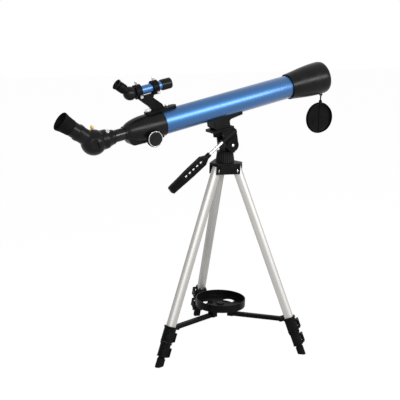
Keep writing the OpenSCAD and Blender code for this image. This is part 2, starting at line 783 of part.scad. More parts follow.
// Outline of the rack's teeth, for n teeth from x = 0; flanks lean by 20 degrees.
module rack_outline(n) {
    p = PI * rack_module;
    lean = rack_module * tan(20);
    root = 1.15 * rack_module;
    tip = 0.85 * rack_module;
    polygon(concat([[0, 3]], [for (i = [0:n - 1], q = [
        [p * i, root], [p * i + lean * 0.2, root], [p * (i + 0.28) + lean, -tip],
        [p * (i + 0.72) - lean, -tip], [p * (i + 1) - lean * 0.2, root]]) q], [[n * p, root], [n * p, 3]]));
}

// Teeth on the rack, and how many of them lie behind the pinion.
rack_teeth = 29;
rack_lead = 10;

module draw_tube() {
    rack_start = pinion_s - PI * rack_module * rack_lead;
    color(silver) tube_frame() difference() {
        union() {
            tube_cyl(draw_r, draw_end - 1, -tube_back + 40);
            turned([[draw_end, 0], [draw_end, draw_r + 1.4], [draw_end - 3, draw_r + 2.2],
                [collar_end + 4, 21.5], [collar_end, 21.5], [collar_end, 0]]);
            translate([rack_start, rack_w / 2, rack_pitch_h]) rotate([90, 0, 0])
                linear_extrude(rack_w) rack_outline(rack_teeth);
        }
        tube_cyl(draw_r - draw_wall, draw_end + 0.5, -tube_back + 41);
        tube_cyl(barrel_r + run, collar_end - 1, collar_end + nose_len + 1);
        tube_cyl(barrel_r - 1.5, collar_end - 1, draw_end + 1);
        translate([draw_screw_s, 0, 0]) rotate([screw_roll, 0, 0]) cylinder(r = 1.75, h = 40);
    }
}

draw_screw_s = collar_end + 12;
screw_roll = 40;

module draw_tube_screw() {
    color(silver) tube_frame() translate([draw_screw_s, 0, 0]) rotate([screw_roll, 0, 0])
        translate([0, 0, 20.9]) thumb_screw(4.4, 5.4, 1.7, 20.9 - barrel_r - gap);
}

module focus_pinion() {
    p = 360 / pinion_teeth;
    tip = pinion_pitch + 0.85 * rack_module;
    root = pinion_pitch - 1.15 * rack_module;
    color(silver) tube_frame() translate([pinion_s, 0, pinion_h]) {
        cross_cyl(shaft_r, -knob_in - knob_t + 2, knob_in + knob_t - 2);
        translate([0, rack_w / 2 - 1, 0]) rotate([90, 0, 0]) linear_extrude(rack_w - 2)
            polygon([for (i = [0:pinion_teeth - 1], q = [
                [root, -0.32], [pinion_pitch, -0.175], [tip, -0.05],
                [tip, 0.05], [pinion_pitch, 0.175], [root, 0.32]])
                q[0] * [cos(p * (i + q[1]) + 90), sin(p * (i + q[1]) + 90)]]);
    }
}

module focus_knobs() {
    color(grey) tube_frame() translate([pinion_s, 0, pinion_h])
        for (side = [0, 1]) mirror([0, side, 0]) difference() {
            union() {
                translate([0, -knob_in, 0]) rotate([90, 0, 0]) linear_extrude(knob_t - 1.5)
                    knurl(knob_r, 40, 0.7);
                cross_cyl(knob_r - 1.2, -knob_in - knob_t, -knob_in - 1);
                cross_cyl(5, -knob_in - 1, -knob_in + 0.8);
            }
            cross_cyl(shaft_r + seat, -knob_in - knob_t + 2, far);
            // dished face inside its bright ring
            cross_cyl(knob_r - 3.4, -knob_in - knob_t - 1, -knob_in - knob_t + 0.6);
        }
}

// ---- diagonal and eyepiece ----------------------------------------------------------------
function prism_points(a) = [[a, -a], [a, a], [0, a * sqrt(2)], [-a * sqrt(2), 0]];

module prism_block(a) {
    translate([0, a, 0]) rotate([90, 0, 0]) linear_extrude(2 * a) polygon(prism_points(a));
}

socket_out = eye_at - gap;
barrel_in = 14;
holder_r = 17.4;

module diagonal_body() {
    color(black) difference() {
        union() {
            tube_frame() {
                difference() {
                    translate([ball_s, 0, 0]) sphere(r = ball_r);
                    translate([collar_end - gap, -far / 2, -far / 2]) cube([far, far, far]);
                }
                tube_cyl(barrel_r, ball_s, collar_end + nose_len);
            }
            eye_frame(ball_s, 0) {
                cylinder(r = holder_r, h = socket_out);
                translate([0, 0, socket_out - 4]) cylinder(r = holder_r + 1, h = 4);
            }
        }
        tube_frame() {
            tube_cyl(barrel_r - 2.5, ball_s, collar_end + nose_len + 1);
            translate([ball_s, 0, 0]) prism_block(prism_a + 0.15);
            // D-shaped recess on each side of the ball
            for (side = [0, 1]) mirror([0, side, 0]) translate([ball_s - 4, -ball_r + 4.2, 0])
                rotate([90, 0, 0]) linear_extrude(far / 4) difference() {
                    circle(r = 12);
                    translate([5, -20]) square(40);
                }
        }
        eye_frame(ball_s, 0) {
            translate([0, 0, barrel_in - 0.5]) cylinder(r = barrel_r + run, h = far);
            cylinder(r = barrel_r - 2.5, h = barrel_in);
            translate([0, 0, diag_screw_d]) rotate([0, 90, 0]) cylinder(r = 1.75, h = 60);
        }
    }
}

diag_screw_d = 21;

module diagonal_prism() {
    color(glass) tube_frame() translate([ball_s, 0, 0]) prism_block(prism_a);
}

module diagonal_screw() {
    color("#b08d4a") eye_frame(ball_s, 0) translate([0, 0, diag_screw_d]) rotate([0, 90, 0])
        translate([0, 0, 23]) thumb_screw(4.2, 5.6, 1.7, 23 - barrel_r - gap);
}

cup_at = 19;

module eyepiece_body() {
    color(black) eye_frame(ball_s, 0) rotate_extrude() polygon([
        [barrel_r - 1.2, barrel_in], [barrel_r, barrel_in], [barrel_r, eye_at],
        [holder_r + 1.1, eye_at], [holder_r + 1.1, eye_at + 3], [holder_r - 0.6, eye_at + 4],
        [holder_r - 0.6, eye_at + cup_at], [14.5, eye_at + cup_at], [14.5, eye_at + eye_len - 12],
        [12, eye_at + eye_len - 12], [12, eye_at + 6], [barrel_r - 1.2, eye_at + 6]]);
}

module eyecup() {
    base = eye_at + cup_at + seat;
    top = eye_at + eye_len;
    color(black) eye_frame(ball_s, 0) rotate_extrude() polygon([
        [14.5 + seat, base], [17.6, base], [18.2, base + 8], [19.2, top - 13], [18.5, top - 12],
        [19.4, top - 11], [21.5, top - 1.5], [20.8, top], [19.4, top], [16.4, top - 11.8],
        [14.5 + seat, top - 11.8]]);
}

module eyepiece_lenses() {
    color(glass) eye_frame(ball_s, 0) {
        // field lens low in the barrel, and eye lens under the cup
        lens(barrel_r - 1.2 - seat, barrel_in + 2, 30, barrel_in + 6, 0);
        lens(12 - seat, eye_at + eye_len - 17, 0, eye_at + eye_len - 12.5, 30);
    }
}

// ---- finder -------------------------------------------------------------------------------
module at_finder() {
    tube_frame() translate([0, 0, finder_h]) children();
}

module finder_bracket() {
    foot_top = housing_r1 + 3.6;
    color(black) difference() {
        union() {
            tube_frame() {
                // foot with a round front end
                translate([-tube_back - 34, -10, tube_r - 4]) cube([64, 20, foot_top - tube_r + 4]);
                translate([-tube_back + 30, 0, tube_r - 4]) cylinder(r = 10, h = foot_top - tube_r + 4);
                // raked stem
                translate([0, 5, 0]) rotate([90, 0, 0]) linear_extrude(10) polygon([
                    [-183.5, foot_top - 1], [-157, foot_top - 1], [-162, foot_top + 10],
                    [-180, finder_h - 21], [ring_front[0] + 2, finder_h - ring_r + 2],
                    [ring_back[0] + 2, finder_h - ring_r + 2], [-193, foot_top + 11]]);
            }
            at_finder() {
                tube_cyl(ring_r, ring_front[0], ring_front[1]);
                tube_cyl(ring_r, ring_back[0], ring_back[1]);
                translate([ring_back[0], -4, -ring_r - 1]) cube([ring_front[1] - ring_back[0], 8, 4]);
            }
        }
        tube_frame() {
            tube_cyl(tube_r + seat, -tube_back, far);
            tube_cyl(housing_r1 + seat, -far, -tube_back);
            for (s = [foot_front_s, foot_back_s]) translate([s, 0, 0]) cylinder(r = 2 + seat, h = foot_top + 1);
        }
        at_finder() {
            tube_cyl(ring_r - 3.4, ring_back[0] - 1, ring_front[1] + 1);
            ring_screws(1.6 + seat);
        }
    }
}

// Holes for the alignment screws: three in each ring.
module ring_screws(r) {
    for (s = [mid_of(ring_front), mid_of(ring_back)], i = [0:2])
        translate([s, 0, 0]) rotate([screw_pitch * i, 0, 0]) translate([0, 0, finder_r + 1])
            cylinder(r = r, h = 10);
}

function mid_of(v) = (v[0] + v[1]) / 2;

module finder_screws() {
    foot_top = housing_r1 + 3.6;
    color(silver) {
        at_finder() for (s = [mid_of(ring_front), mid_of(ring_back)], i = [0:2])
            translate([s, 0, 0]) rotate([screw_pitch * i, 0, 0]) translate([0, 0, ring_r + 2])
                thumb_screw(3.4, 6, 1.6, ring_r + 2 - finder_r - seat);
        tube_frame() for (s = [foot_front_s, foot_back_s]) translate([s, 0, foot_top])
            thumb_screw(s < -tube_back ? 7.3 : 4.2, 5.4, 2, foot_top - tube_r + 3);
    }
}

module finder_tube() {
    color(blue) at_finder() turned([[ring_back[0] + 2, 7.2], [ring_back[0] + 2, finder_r],
        [-153, finder_r], [-153, finder_r - 1.5], [ring_back[0] + 4, finder_r - 1.5],
        [ring_back[0] + 4, 7.2]]);
}

module finder_bell() {
    color(black) at_finder() turned([[-156, finder_r + seat], [-156, bell_r - 0.8],
        [-153, bell_r], [-134, bell_r], [-132, bell_r - 0.6], [-132, bell_r - 2],
        [-144, bell_r - 2], [-144, 8], [-150, 8], [-150, finder_r + seat]]);
}

// The finder's front lens, and the roof prism in its ball.
module finder_lens() {
    color(glass) at_finder() {
        translate([-144, 0, 0]) rotate([0, 90, 0]) lens(bell_r - 2 - seat, 0, 0, 3.5, 60);
        translate([fball_s, 0, 0]) prism_block(fprism_a);
    }
}

module finder_diagonal() {
    color(black) difference() {
        union() {
            at_finder() {
                translate([fball_s, 0, 0]) rotate([0, 90, 0]) sphere(r = fball_r);
                tube_cyl(9, fball_s, ring_back[0] + 2 - seat);
            }
            eye_frame(fball_s, finder_h) cylinder(r = 8, h = 17);
        }
        at_finder() {
            tube_cyl(4, fball_s, far);
            translate([fball_s, 0, 0]) prism_block(fprism_a + 0.15);
        }
        eye_frame(fball_s, finder_h) cylinder(r = 4, h = far);
    }
}

module finder_eyepiece() {
    at = fball_r + gap;
    color(black) eye_frame(fball_s, finder_h) rotate_extrude() polygon([
        [8 + run, at - 0.3], [10.3, at - 0.3], [10.8, at + 3], [10.8, at + 16], [8.4, at + 17],
        [8.4, at + 19], [11.8, at + 20], [11.8, at + 23], [9.6, at + 23], [7.5, at + 18],
        [5, at + 12], [5, at + 3], [8 + run, at + 3]]);
}

// ---- saddle -------------------------------------------------------------------------------
module saddle() {
    low = -tube_rise + plate_high;
    color(black) tube_frame() difference() {
        translate([0, 17, 0]) rotate([90, 0, 0]) linear_extrude(34) difference() {
            polygon([[-65, -14], [-65, -34], [-60, low], [-3, low], [36, -tube_r - 0.6], [36, -14]]);
            translate([36, -tube_r - 62]) circle(r = 60.5);
        }
        tube_cyl(tube_r + seat, -far, far);
        translate([screw_x - tube_shift, 0, low - 1]) cylinder(r = screw_r + run, h = 10);
    }
}

// ---- assembly -----------------------------------------------------------------------------
main_tube();
lens_hood();
objective_cell();
objective_lenses();
lens_cap();
cap_strap();
focuser_housing();
pinion_cover();
draw_tube();
draw_tube_screw();
focus_pinion();
focus_knobs();
diagonal_body();
diagonal_prism();
diagonal_screw();
eyepiece_body();
eyecup();
eyepiece_lenses();
finder_bracket();
finder_tube();
finder_bell();
finder_lens();
finder_diagonal();
finder_eyepiece();
finder_screws();
saddle();
platform_screw();
tilt_platform();
tilt_bolt();
handle_rod();
handle_grip();
pan_head();
leg_spider();
leg_pins();
spreader_hub();
tray();
brace(1);  // brace_1
brace(2);  // brace_2
brace(3);  // brace_3
leg_upper(1);  // leg_1_upper
leg_clamp(1);  // leg_1_clamp
leg_lever(1);  // leg_1_lever
leg_middle(1);  // leg_1_middle
leg_middle_clamp(1);  // leg_1_middle_clamp
leg_middle_lever(1);  // leg_1_middle_lever
leg_lower(1);  // leg_1_lower
leg_upper(2);  // leg_2_upper
leg_clamp(2);  // leg_2_clamp
leg_lever(2);  // leg_2_lever
leg_middle(2);  // leg_2_middle
leg_middle_clamp(2);  // leg_2_middle_clamp
leg_middle_lever(2);  // leg_2_middle_lever
leg_lower(2);  // leg_2_lower
leg_upper(3);  // leg_3_upper
leg_clamp(3);  // leg_3_clamp
leg_lever(3);  // leg_3_lever
leg_middle(3);  // leg_3_middle
leg_middle_clamp(3);  // leg_3_middle_clamp
leg_middle_lever(3);  // leg_3_middle_lever
leg_lower(3);  // leg_3_lower
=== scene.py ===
"""Looks for the telescope on its tripod: materials, finished pieces, studio and camera.
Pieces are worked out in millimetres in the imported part's own frame and stored in metres."""
import json

import bmesh
import bpy
import numpy as np
from mathutils import Matrix

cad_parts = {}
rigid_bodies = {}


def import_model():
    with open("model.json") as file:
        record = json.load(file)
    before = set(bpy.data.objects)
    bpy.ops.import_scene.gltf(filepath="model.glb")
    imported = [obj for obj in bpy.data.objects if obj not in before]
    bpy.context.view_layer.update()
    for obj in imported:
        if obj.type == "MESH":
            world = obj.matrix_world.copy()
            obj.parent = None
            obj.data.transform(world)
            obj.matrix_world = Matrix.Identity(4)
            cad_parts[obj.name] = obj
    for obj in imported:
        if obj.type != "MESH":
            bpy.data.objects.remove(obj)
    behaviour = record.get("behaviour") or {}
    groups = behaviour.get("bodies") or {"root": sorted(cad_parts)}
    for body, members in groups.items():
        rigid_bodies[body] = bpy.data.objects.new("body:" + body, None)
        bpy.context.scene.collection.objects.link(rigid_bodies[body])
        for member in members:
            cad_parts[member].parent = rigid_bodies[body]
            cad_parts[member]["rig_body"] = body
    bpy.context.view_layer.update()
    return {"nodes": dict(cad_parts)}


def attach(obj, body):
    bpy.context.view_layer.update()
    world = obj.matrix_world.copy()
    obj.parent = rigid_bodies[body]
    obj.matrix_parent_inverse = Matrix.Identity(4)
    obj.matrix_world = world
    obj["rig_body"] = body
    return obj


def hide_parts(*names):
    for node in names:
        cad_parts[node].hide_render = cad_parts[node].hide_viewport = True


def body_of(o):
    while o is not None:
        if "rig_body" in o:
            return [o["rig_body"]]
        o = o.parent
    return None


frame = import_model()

MM = 0.001

# ---- Legs -----------------------------------------------------------------------------------
# Three legs, each of two telescoping tubes of extruded aluminium with a round nose and a flat
# back, brushed along their length and clear anodised. TOP and LOW count from the leg's rivet.
LEG_LENGTH, LEG_SPLAY, LEG_PIVOT_R = 464.5, 21.62, 30.8
PIN_Z = LEG_LENGTH * np.cos(np.radians(LEG_SPLAY))
LEG_TURN = {1: -163.2, 2: -43.2, 3: 76.8}
LEG_W, LEG_D, LEG_WALL, STAGE_STEP = 18.0, 19.5, 1.2, 3.0
MID_W, MID_D = LEG_W - STAGE_STEP, LEG_D - STAGE_STEP
UPPER_TOP, MIDDLE_TOP, TUBE_EASE, BACK_CORNER = 7.0, -20.0, 0.2, 1.2
UPPER_CLAMP_H, LOWER_CLAMP_H, CLAMP_SPACE, CLAMP_GRIP, FOOT_LEN = 36.0, 34.0, 1.0, 12.0, 24.0
LOWER_CLAMP_LOW = FOOT_LEN - LEG_LENGTH
LOWER_CLAMP_TOP = LOWER_CLAMP_LOW + LOWER_CLAMP_H
UPPER_CLAMP_LOW = LOWER_CLAMP_TOP + CLAMP_SPACE
UPPER_CLAMP_TOP = UPPER_CLAMP_LOW + UPPER_CLAMP_H
CRISP = 38.0


def srgb(code):
    """Linear RGBA of an sRGB hex colour: the sRGB curve undone channel by channel."""
    c = np.array([int(code[i:i + 2], 16) for i in (1, 3, 5)]) / 255
    linear = np.where(c <= 0.04045, c / 12.92, ((c + 0.055) / 1.055) ** 2.4)
    return (*linear.tolist(), 1.0)


def add(material, kind, inputs=None, **settings):
    """Adds one node. settings are its properties; inputs are socket values, or outputs to link."""
    node = material.node_tree.nodes.new("ShaderNode" + kind)
    for key, value in settings.items():
        setattr(node, key, value)
    for key, value in (inputs or {}).items():
        if isinstance(value, bpy.types.NodeSocket):
            material.node_tree.links.new(value, node.inputs[key])
        else:
            node.inputs[key].default_value = value
    return node


def new_material(name):
    """An empty node material."""
    material = bpy.data.materials.new(name)
    material.use_nodes = True
    material.node_tree.nodes.clear()
    return material


def shift(x, y, z):
    """A 4x4 matrix that moves by x, y, z millimetres."""
    m = np.eye(4)
    m[:3, 3] = x, y, z
    return m


def turn(axis, degrees):
    """A 4x4 matrix that turns right-handed about x, y or z: cosines on the diagonal of the plane
    that turns, and minus and plus the sine off it."""
    i, j = {"x": (1, 2), "y": (2, 0), "z": (0, 1)}[axis]
    c, s = np.cos(np.radians(degrees)), np.sin(np.radians(degrees))
    m = np.eye(4)
    m[i, i], m[j, j], m[i, j], m[j, i] = c, c, -s, s
    return m


def leg_place(k):
    """Where leg k stands: -Z runs down the leg from its rivet and +X points outwards."""
    return turn("z", LEG_TURN[k]) @ shift(LEG_PIVOT_R, 0, PIN_Z) @ turn("y", -LEG_SPLAY)


def skin(rings, where, loop=False):
    """A shell over a (rings, points, 3) grid: a quad joins neighbouring points of neighbouring
    rings, and each ring closes on itself. With loop the last ring meets the first; without it
    the end rings are filled, unless they have shrunk to a point."""
    m, n = rings.shape[:2]
    i = np.arange(m if loop else m - 1)[:, None] * np.ones((1, n), int)
    j = np.arange(n)[None, :] * np.ones((len(i), 1), int)
    up, on = (i + 1) % m, (j + 1) % n
    faces = np.stack([i * n + j, i * n + on, up * n + on, up * n + j], -1).reshape(-1, 4).tolist()
    if not loop:
        for ring in (0, m - 1):
            if np.ptp(rings[ring], axis=0).max() > 1e-6:
                faces.append((ring * n + np.arange(n)).tolist())
    points = rings.reshape(-1, 3) @ where[:3, :3].T + where[:3, 3]
    return points, faces


def finished(name, mesh, material, body, covers, bevel, bevel_from):
    """Makes an object of a mesh: edges sharper than CRISP degrees stay crisp, and those sharper
    than bevel_from degrees are rounded by bevel millimetres. It rides on a body and stands for
    the CAD nodes that it covers."""
    mesh.materials.append(material)
    mesh.shade_smooth()
    mesh.set_sharp_from_angle(angle=np.radians(CRISP))
    thing = bpy.data.objects.new(name, mesh)
    bpy.context.scene.collection.objects.link(thing)
    if bevel:
        edge = thing.modifiers.new("eased_edges", "BEVEL")
        edge.width, edge.segments, edge.limit_method = bevel * MM, 2, "ANGLE"
        edge.angle_limit = np.radians(bevel_from)
    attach(thing, body)
    if covers:
        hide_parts(*covers)


def piece(name, shells, material, body, covers=(), bevel=0.0):
    """One object of closed shells, each merged and turned outwards by itself."""
    whole = bmesh.new()
    for points, faces in shells:
        mesh = bpy.data.meshes.new(name)
        mesh.from_pydata((points * MM).tolist(), [], faces)
        part = bmesh.new()
        part.from_mesh(mesh)
        bmesh.ops.remove_doubles(part, verts=part.verts, dist=1e-6)
        bmesh.ops.recalc_face_normals(part, faces=part.faces)
        part.to_mesh(mesh)
        part.free()
        whole.from_mesh(mesh)
        bpy.data.meshes.remove(mesh)
    mesh = bpy.data.meshes.new(name)
    whole.to_mesh(mesh)
    whole.free()
    finished(name, mesh, material, body, covers, bevel, 30)


def eased(points, radius, steps=4):
    """The closed outline with each corner swapped for a quadratic Bezier: it starts radius before
    the corner, ends radius after it, never past 0.48 of an edge, and is drawn to the corner."""
    p = np.asarray(points, float)
    back, on = np.roll(p, 1, 0) - p, np.roll(p, -1, 0) - p
    len_back, len_on = np.linalg.norm(back, axis=1), np.linalg.norm(on, axis=1)
    cut = np.minimum(radius, 0.48 * np.minimum(len_back, len_on))[:, None]
    a, b = p + back / len_back[:, None] * cut, p + on / len_on[:, None] * cut
    t = np.linspace(0, 1, steps + 1)[None, :, None]
    curve = (1 - t) ** 2 * a[:, None] + 2 * t * (1 - t) * p[:, None] + t ** 2 * b[:, None]
    return curve.reshape(-1, 2)


def pressed(outline, z0, z1, where, rim=0.5, steps=3):
    """A flat outline carried up from z0 to z1. Near both ends it shrinks along its own mitred
    normals on a quarter circle of radius rim, which rounds the rims."""
    p = np.asarray(outline, float)
    x, y = p.T
    if np.sum(x * np.roll(y, -1) - y * np.roll(x, -1)) < 0:
        p = p[::-1]
    edge = np.roll(p, -1, 0) - p
    edge /= np.linalg.norm(edge, axis=1)[:, None]
    normal = np.stack([edge[:, 1], -edge[:, 0]], 1)
    before = np.roll(normal, 1, 0)
    mitre = (normal + before) / (1 + np.sum(normal * before, 1))[:, None]
    q = np.linspace(0, np.pi / 2, steps + 1)
    inset = rim * (1 - np.sin(np.concatenate([q, q[::-1]])))
    lift = rim * (1 - np.cos(q))
    height = np.concatenate([z0 + lift, z1 - lift[::-1]])
    flat = p[None] - inset[:, None, None] * mitre[None]
    rings = np.concatenate([flat, np.broadcast_to(height[:, None, None], (*flat.shape[:2], 1))], 2)
    return skin(rings, where)


def leg_outline(width, depth, corner):
    """Section of a leg stage: a half circle for the nose, two flat sides, and a flat back whose
    two corners are rounded."""
    r, mid = width / 2, depth / 2 - width / 2
    a = np.linspace(-np.pi / 2, np.pi / 2, 21)
    nose = np.stack([mid + r * np.cos(a), r * np.sin(a)], 1)
    q = np.linspace(0, np.pi / 2, 5)
    back = np.stack([-depth / 2 + corner * (1 - np.sin(q)), r - corner * (1 - np.cos(q))], 1)
    return np.concatenate([nose, back, back[::-1] * [1, -1]])


def sleeve(width, depth, stations, where):
    """A hollow shell on a leg's section: stations are (height, growth) pairs that go up one side
    of the wall and down the other, and each ring is the leg's outline grown by that much."""
    rings = []
    for z, grow in stations:
        line = leg_outline(width + 2 * grow, depth + 2 * grow, max(BACK_CORNER + grow * 0.5, 0.3))
        rings.append(np.column_stack([line, np.full(len(line), z)]))
    return skin(np.array(rings), where, loop=True)


def anodised_aluminium(name, where):
    """Extruded aluminium, brushed along its length and clear anodised: a soft bright metal whose
    fine draw lines run down the leg. Lines 0.4 mm apart are drawn 1.25 mm apart so they show, and
    each fades over about 170 mm."""
    line_gap = 1.25
    mat = new_material(name)
    place = add(mat, "TexCoord")
    spin = Matrix(np.linalg.inv(where)[:3, :3].tolist()).to_euler()
    scale = (1000 / line_gap, 1000 / line_gap, 6)
    along = add(mat, "Mapping", {"Vector": place.outputs["Object"], "Rotation": spin})
    drawn = add(mat, "Mapping", {"Vector": along.outputs[0], "Scale": scale})
    lines = add(mat, "TexNoise", {"Vector": drawn.outputs[0], "Scale": 1.0, "Detail": 3.0})
    tone = add(mat, "ValToRGB", {"Fac": lines.outputs["Fac"]})
    tone.color_ramp.elements[0].position, tone.color_ramp.elements[0].color = 0.3, srgb("#a9a7a4")
    tone.color_ramp.elements[1].position, tone.color_ramp.elements[1].color = 0.7, srgb("#b9b7b4")
    rough = add(mat, "MapRange", {"Value": lines.outputs["Fac"], "To Min": 0.5, "To Max": 0.62})
    bump = add(mat, "Bump", {"Height": lines.outputs["Fac"], "Strength": 0.08, "Distance": 0.0002})
    metal = add(mat, "BsdfPrincipled", {
        "Base Color": tone.outputs[0], "Roughness": rough.outputs[0], "Metallic": 0.8,
        "Normal": bump.outputs[0]})
    add(mat, "OutputMaterial", {"Surface": metal.outputs[0]})
    return mat


low, top, ease, inside = UPPER_CLAMP_LOW + CLAMP_GRIP, UPPER_TOP, TUBE_EASE, -LEG_WALL
UPPER_WALL = [(low + ease, inside), (low, inside + ease), (low, -ease), (low + ease, 0),
              (top - ease, 0), (top, -ease), (top, inside + ease), (top - ease, inside)]
low, top = LOWER_CLAMP_LOW + CLAMP_GRIP, MIDDLE_TOP
MIDDLE_WALL = [(low, inside), (low, 0), (top, 0), (top, inside)]
for k in LEG_TURN:
    place = leg_place(k)
    metal = anodised_aluminium(f"anodised_aluminium_leg_{k}", place)
    piece(f"leg_{k}_upper_tube", [sleeve(LEG_W, LEG_D, UPPER_WALL, place)], metal, f"leg_{k}",
          [f"leg_{k}_upper"])
    piece(f"leg_{k}_middle_tube", [sleeve(MID_W, MID_D, MIDDLE_WALL, place)], metal,
          f"leg_{k}_middle", [f"leg_{k}_middle"])


# ---- Leg clamps, levers and feet ------------------------------------------------------------
# Each stage ends in a sleeve moulded in black ABS that grips the next one. A flip lever on a
# steel pin squeezes the sleeve. The lowest stage is one solid black moulding down to its foot.
CLAMP_WALL, FIT, HINGE_AHEAD, LUG_R, LUG_T, LUG_GAP = 3.0, 0.03, 0.5, 2.8, 4.0, 0.3
LEVER_H, LEVER_T, LEVER_OFF, UPPER_LEVER_UP, LOWER_LEVER_UP = 22.0, 3.4, 0.3, 14.0, 13.0
BRACE_PIN, BRACE_OFF, BRACE_W, BRACE_GAP = UPPER_CLAMP_TOP + 0.6, 20.1, 9.8, 0.3
BRACE_EAR_R, BRACE_EAR_T = 5.0, 3.0


def moulded_plastic(name, colour, worn, rough_low, rough_high, grain_mm=0.9, relief=0.10,
                    gloss=0.05):
    """Black plastic from a spark-eroded tool: a fine even grain that breaks up the highlight,
    slightly paler where it is handled. Real grain is 0.2 mm and is drawn coarser so it shows."""
    mat = new_material(name)
    place = add(mat, "TexCoord")
    grain = add(mat, "TexNoise", {"Vector": place.outputs["Object"], "Scale": 1000 / grain_mm,
                                  "Detail": 2.0, "Roughness": 0.6})
    cloud = add(mat, "TexNoise", {"Vector": place.outputs["Object"], "Scale": 38.0, "Detail": 3.0})
    tone = add(mat, "ValToRGB", {"Fac": cloud.outputs["Fac"]})
    tone.color_ramp.elements[0].position, tone.color_ramp.elements[0].color = 0.35, srgb(colour)
    tone.color_ramp.elements[1].position, tone.color_ramp.elements[1].color = 0.75, srgb(worn)
    rough = add(mat, "MapRange", {"Value": cloud.outputs["Fac"], "From Min": 0.3, "From Max": 0.7,
                                  "To Min": rough_low, "To Max": rough_high})
    bump = add(mat, "Bump", {"Height": grain.outputs["Fac"], "Strength": relief,
                             "Distance": 0.0002})
    body = add(mat, "BsdfPrincipled", {"Base Color": tone.outputs[0], "Specular IOR Level": gloss,
                                       "Roughness": rough.outputs[0], "Normal": bump.outputs[0]})
    add(mat, "OutputMaterial", {"Surface": body.outputs[0]})
    return mat


def box(x0, x1, y0, y1, z0, z1, where, ease=0.8, rim=0.5):
    """A block with rounded upright corners and rounded rims."""
    line = eased([(x0, y0), (x1, y0), (x1, y1), (x0, y1)], ease)
    return pressed(line, z0, z1, where, rim)


def turned(profile, where, around=64, loop=False):
    """A profile of (height, radius) pairs turned about local Z."""
    p = np.asarray(profile, float)
    a = np.linspace(0, 2 * np.pi, around, endpoint=False)
    rings = np.stack([np.outer(p[:, 1], np.cos(a)), np.outer(p[:, 1], np.sin(a)),
                      np.repeat(p[:, :1], around, 1)], 2)
    return skin(rings, where, loop)


def rod(r, z0, z1, where, rim=0.3, around=40):
    """A round bar along local Z whose two rims are rounded on quarter circles."""
    q = np.linspace(0, np.pi / 2, 4)
    inset, lift = rim * (1 - np.sin(q)), rim * (1 - np.cos(q))
    profile = np.column_stack([np.concatenate([z0 + lift, z1 - lift[::-1]]),
                               r - np.concatenate([inset, inset[::-1]])])
    return turned(profile, where, around)


black_abs = moulded_plastic("black_abs_moulding", "#0b0b0c", "#111112", 0.36, 0.48)
foot_rubber = moulded_plastic("black_foot_rubber", "#0b0b0b", "#121212", 0.6, 0.75, 1.4, 0.3)
TO_Y = turn("x", -90)


def hinge(width, depth):
    """Where a lever's pin stands: just outside the sleeve's outer front corner."""
    return (depth / 2 + CLAMP_WALL + HINGE_AHEAD,
            width / 2 + CLAMP_WALL + LEVER_OFF + LEVER_T / 2)


def clamp_shells(width, depth, top, low, middle, where):
    """The sleeve with its thick top rim and its foot rim, and the two lugs of the lever's hinge,
    one above and one below the lever's barrel."""
    out = CLAMP_WALL
    stations = [(low, -LEG_WALL), (low, out - 0.4), (low + 0.4, out), (low + 2.6, out),
                (low + 3, out - 0.5), (top - 5, out - 0.5), (top - 4, out + 0.6),
                (top - 3.4, out + 1), (top - 0.5, out + 1), (top, out + 0.5), (top, FIT),
                (low + CLAMP_GRIP, FIT), (low + CLAMP_GRIP, -LEG_WALL)]
    shells = [sleeve(width, depth, stations, where)]
    hx, hy = hinge(width, depth)
    lug = eased([(hx - LUG_R, 0), (hx - LUG_R, hy + LUG_R), (hx + LUG_R, hy + LUG_R),
                 (hx + LUG_R, 0)], [0.3, 2.6, 2.6, 0.3])
    for z in (middle - LEVER_H / 2, middle + LEVER_H / 2 - LUG_T):
        shells.append(pressed(lug, z, z + LUG_T, where, 0.4))
    return shells


def lever_shells(width, depth, middle, where):
    """The flip lever: a barrel round the pin, a plate along the sleeve's side with three grip
    ribs, and a lip at its free end for a finger."""
    hx, hy = hinge(width, depth)
    free_end = -depth / 2 - CLAMP_WALL + 1
    half = LEVER_H / 2
    low, high = middle - half, middle + half
    notch = LUG_T + LUG_GAP
    notch_x = hx - 4
    inner, outer = hy - LEVER_T / 2, hy + LEVER_T / 2
    plate = eased([(free_end, -half), (notch_x, -half), (notch_x, notch - half), (hx, notch - half),
                   (hx, half - notch), (notch_x, half - notch), (notch_x, half), (free_end, half)],
                  [2.2, 1.2, 0.4, 0.3, 0.3, 0.4, 1.2, 2.2])
    shells = [rod(LUG_R, low + notch, high - notch, where @ shift(hx, hy, 0)),
              pressed(plate, 0, LEVER_T, where @ shift(0, inner, middle) @ TO_Y, 0.6),
              box(free_end, free_end + 3.4, outer - 1.2, outer + 1.9, low + 0.4, high - 0.4, where, 1.2)]
    for i in range(3):
        x = free_end + 6.5 + 3 * i
        shells.append(box(x, x + 1.2, outer - 0.5, outer + 0.45, low + 3, high - 3, where, 0.4, 0.3))
    return shells


def brace_ears(where):
    """The two ears at the sleeve's back that hold a brace between them: flat plates whose outer
    end is nearly a half circle about the brace's pin."""
    root, end = -LEG_D / 2 - 1, -BRACE_OFF - BRACE_EAR_R
    ear = eased([(end, -BRACE_EAR_R), (root, -BRACE_EAR_R), (root, BRACE_EAR_R), (end, BRACE_EAR_R)],
                [4.6, 0.4, 0.4, 4.6], 6)
    inner = BRACE_W / 2 + BRACE_GAP
    return [pressed(ear, 0, BRACE_EAR_T, where @ shift(0, y, BRACE_PIN) @ TO_Y, 0.4)
            for y in (-inner - BRACE_EAR_T, inner)]


